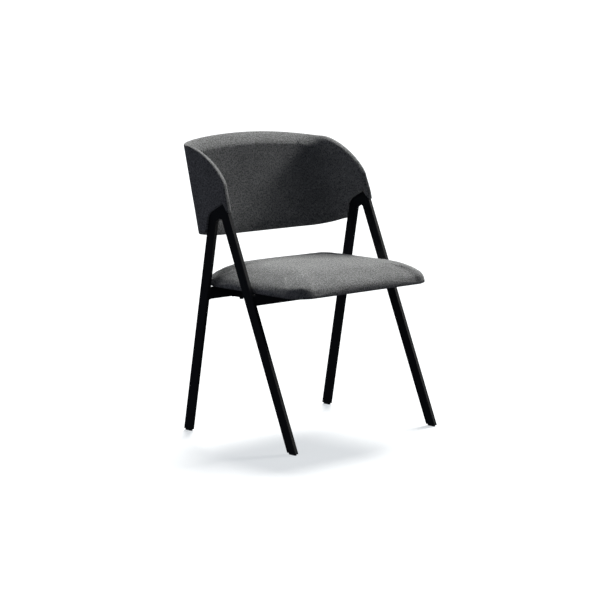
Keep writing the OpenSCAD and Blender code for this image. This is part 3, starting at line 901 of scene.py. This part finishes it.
def seat_cushion():
    """A slightly small pad that swells in a cloth simulation until it fills its cover"""
    low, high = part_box("seat_cover")
    base, crown = low.z / MM, high.z / MM - SWELL
    bm = bmesh.new()
    rings = [seat_ring(bm, 1.2, base), seat_ring(bm, 0.2, base + 1.4), seat_ring(bm, 0, base + 5)]
    for t in (0, 0.03, 0.08, 0.15, 0.25, 0.38, 0.52, 0.68, 0.84, 1):
        h = SEAT_RIM_H + (crown - SEAT_RIM_H) * (1 - (1 - t) ** SEAT_DOME_POWER) ** (1 / SEAT_DOME_POWER)
        rings.append(seat_ring(bm, SEAT_DOME_INSET * t, h))
    rings.append(seat_ring(bm, 170, crown + 0.4))
    skin(bm, rings)
    bmesh.ops.recalc_face_normals(bm, faces=bm.faces)
    mesh = bpy.data.meshes.new("seat_start")
    bm.to_mesh(mesh)
    bm.free()
    mesh = with_modifier(mesh, "REMESH", mode="VOXEL", voxel_size=SEAT_VOXEL * MM)
    mesh = swollen(mesh, base * MM + 0.001, cap=SWELL_CAP * MM)
    mesh = with_modifier(mesh, "SMOOTH", factor=0.5, iterations=2)
    mesh = with_modifier(mesh, "SUBSURF", subdivision_type="CATMULL_CLARK", levels=1)
    co = coordinates(mesh) / MM
    co[:, 1] -= STANCE_Y
    lift = np.array([noise.noise(Vector((x * 0.012, y * 0.012, 2.0))) for x, y, _ in co])
    top = co[:, 2] > SEAT_RIM_H
    co[:, 2] += np.where(top, SEAT_UNEVEN * lift, 0)
    co[:, 2] = np.maximum(co[:, 2], base)
    uv = seat_uvs(co)
    co[:, 1] += STANCE_Y
    set_coordinates(mesh, co * MM)
    set_uvs(mesh, uv * MM)
    set_smooth(mesh)
    cushion = piece("seat_cushion", mesh, SEAT_FABRIC, "seat_fabric", "seat_cover", "seat_foam")


FLAT_X = 150
FLAT_Y = 110
FLAT_SHIFT_Y = 12
WEAVE_TOP_H = 465
WEAVE_CREEP = 0.8


def seat_uvs(co):
    """The weave lies flat on the crown and runs on down the sides, as the cover was pulled"""
    x, y, z = co.T
    past_x = np.clip(np.abs(x) - FLAT_X, 0, None)
    past_y = np.clip(np.abs(y + FLAT_SHIFT_Y) - FLAT_Y, 0, None)
    reach = np.hypot(past_x, past_y)
    fall = np.clip(WEAVE_TOP_H - z, 0, None)
    sx = np.sign(x) * past_x / np.maximum(reach, 1)
    sy = np.sign(y + FLAT_SHIFT_Y) * past_y / np.maximum(reach, 1)
    return np.stack([x + sx * fall * WEAVE_CREEP, y + sy * fall * WEAVE_CREEP], 1)


SWELL_PRESSURE = 4
SWELL_FRAMES = 20


def swollen(mesh, floor, cap):
    """The mesh after a pressure cloth simulation, with each point held within cap of where it began"""
    work = bpy.data.objects.new("swelling", mesh)
    scene = bpy.context.scene
    scene.collection.objects.link(work)
    start = coordinates(mesh)
    pinned = work.vertex_groups.new(name="pinned")
    pinned.add([int(i) for i in np.nonzero(start[:, 2] < floor + 0.002)[0]], 1.0, "REPLACE")
    cloth = work.modifiers.new("cloth", "CLOTH")
    settings = cloth.settings
    settings.quality = 5
    settings.mass = 0.25
    settings.tension_stiffness = 25
    settings.compression_stiffness = 25
    settings.shear_stiffness = 12
    settings.bending_stiffness = 1.5
    settings.use_pressure = True
    settings.uniform_pressure_force = SWELL_PRESSURE
    settings.vertex_group_mass = "pinned"
    settings.effector_weights.gravity = 0
    cloth.point_cache.frame_start, cloth.point_cache.frame_end = 1, SWELL_FRAMES
    for number in range(1, SWELL_FRAMES + 1):
        scene.frame_set(number)
    out = applied(work)
    moved = coordinates(out)
    step = moved - start
    length = np.linalg.norm(step, axis=1, keepdims=True)
    # A point that has gone far eases towards the cap, so the pad has no flat spots where it was held
    eased = cap * np.tanh(length / cap)
    moved = start + step * eased / np.maximum(length, 1e-9)
    set_coordinates(out, moved)
    bpy.data.objects.remove(work)
    scene.frame_set(1)
    return out


DUST_BLOCK = 8
DUST_VOXEL = 4
DUST_SLACK = 0.25


def dust_cover():
    """Black non-woven cloth, stapled flat under the seat, a little slack between the staples"""
    low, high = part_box("seat_dust_cover")
    half = seat_half_outline(DUST_INSET, 10)
    loop = half + [(-x, y) for x, y in reversed(half)]
    bm = bmesh.new()
    bm.faces.new([bm.verts.new((x * MM, (y + STANCE_Y) * MM, high.z)) for x, y in loop])
    bmesh.ops.triangulate(bm, faces=bm.faces)
    flat = bpy.data.meshes.new("dust_flat")
    bm.to_mesh(flat)
    bm.free()
    thick = with_modifier(flat, "SOLIDIFY", thickness=DUST_BLOCK * MM, offset=0.0)
    mesh = with_modifier(thick, "REMESH", mode="VOXEL", voxel_size=DUST_VOXEL * MM)
    co = coordinates(mesh)
    middle = (low.z + high.z) / 2
    half_t = (high.z - low.z) / 2 * 0.7
    slack = np.array([noise.noise(Vector((x * 38, y * 38, 9.0))) for x, y, _ in co])
    upper = co[:, 2] > high.z
    co[:, 2] = middle + np.where(upper, half_t, -half_t) + DUST_SLACK * MM * slack
    set_coordinates(mesh, co)
    set_uvs(mesh, co[:, :2].copy())
    set_smooth(mesh)
    cloth = piece("seat_dust_cloth", mesh, DUST, "dust_cloth", "seat_dust_cover")


# ---------------------------------------------------------------- camera, floor and light

def camera():
    data = bpy.data.cameras.new("camera")
    data.lens = 124.89
    data.sensor_width = 36
    data.clip_end = 1000
    made = bpy.data.objects.new("camera", data)
    bpy.context.scene.collection.objects.link(made)
    made.location = (-3.8580, -4.0954, 1.2103)
    target = Vector((-0.0413, -0.0271, 0.3601))
    made.rotation_euler = (target - made.location).to_track_quat("-Z", "Y").to_euler()
    bpy.context.scene.camera = made


FLOOR_HALF = 300
FLOOR_GLOW = 0.66


def floor():
    """A pale floor that glows a little, so that the shadow on it stays light"""
    bm = bmesh.new()
    bmesh.ops.create_grid(bm, x_segments=1, y_segments=1, size=FLOOR_HALF)
    mesh = bpy.data.meshes.new("floor")
    bm.to_mesh(mesh)
    bm.free()
    look = Look("floor", roughness=0.9, specular=0.0)
    look.set("Emission Color", rgb(0.93, 0.97, 1.0))
    look.set("Emission Strength", FLOOR_GLOW)
    mesh.materials.append(look.finish(rgb(0.42, 0.42, 0.42)))
    made = bpy.data.objects.new("floor", mesh)
    bpy.context.scene.collection.objects.link(made)
    # The floor neither lights the chair nor shows in its gloss: its glow is only for the pale background
    made.visible_diffuse = False
    made.visible_glossy = False


def lamp(name, toward, strength, angle, colour):
    """A soft distant light that shines from the direction given"""
    data = bpy.data.lights.new(name, "SUN")
    data.energy = strength
    data.angle = math.radians(angle)
    data.color = colour
    made = bpy.data.objects.new(name, data)
    bpy.context.scene.collection.objects.link(made)
    made.rotation_euler = Vector(toward).to_track_quat("Z", "Y").to_euler()


def studio():
    """Three lamps that light every object, in a weak grey-blue air. A camera ray that misses everything sees
    white."""
    world = bpy.data.worlds.new("world")
    bpy.context.scene.world = world
    world.use_nodes = True
    tree = world.node_tree
    backdrop, output = tree.nodes["Background"], tree.nodes["World Output"]
    backdrop.inputs[0].default_value = rgb(1.0, 1.0, 1.0)
    air = tree.nodes.new("ShaderNodeBackground")
    air.inputs[0].default_value = rgb(0.80, 0.85, 1.0)
    air.inputs[1].default_value = 0.07
    seen = tree.nodes.new("ShaderNodeLightPath")
    choose = tree.nodes.new("ShaderNodeMixShader")
    tree.links.new(seen.outputs["Is Camera Ray"], choose.inputs[0])
    tree.links.new(air.outputs[0], choose.inputs[1])
    tree.links.new(backdrop.outputs[0], choose.inputs[2])
    tree.links.new(choose.outputs[0], output.inputs[0])
    lamp("overhead", (0.50, 0.36, 0.79), 5.7, 22, (1.0, 0.995, 0.965))
    lamp("side", (0.88, -0.22, 0.42), 1.1, 14, (1.0, 0.985, 0.97))
    lamp("left", (-0.85, 0.10, 0.45), 0.2, 60, (0.84, 0.84, 1.0))
    bpy.context.scene.view_settings.view_transform = "Standard"


camera()
floor()
studio()
steel_frame()
weld_gussets()
weld_beads()
hardware()
seat_cushion()
dust_cover()
back_shell()
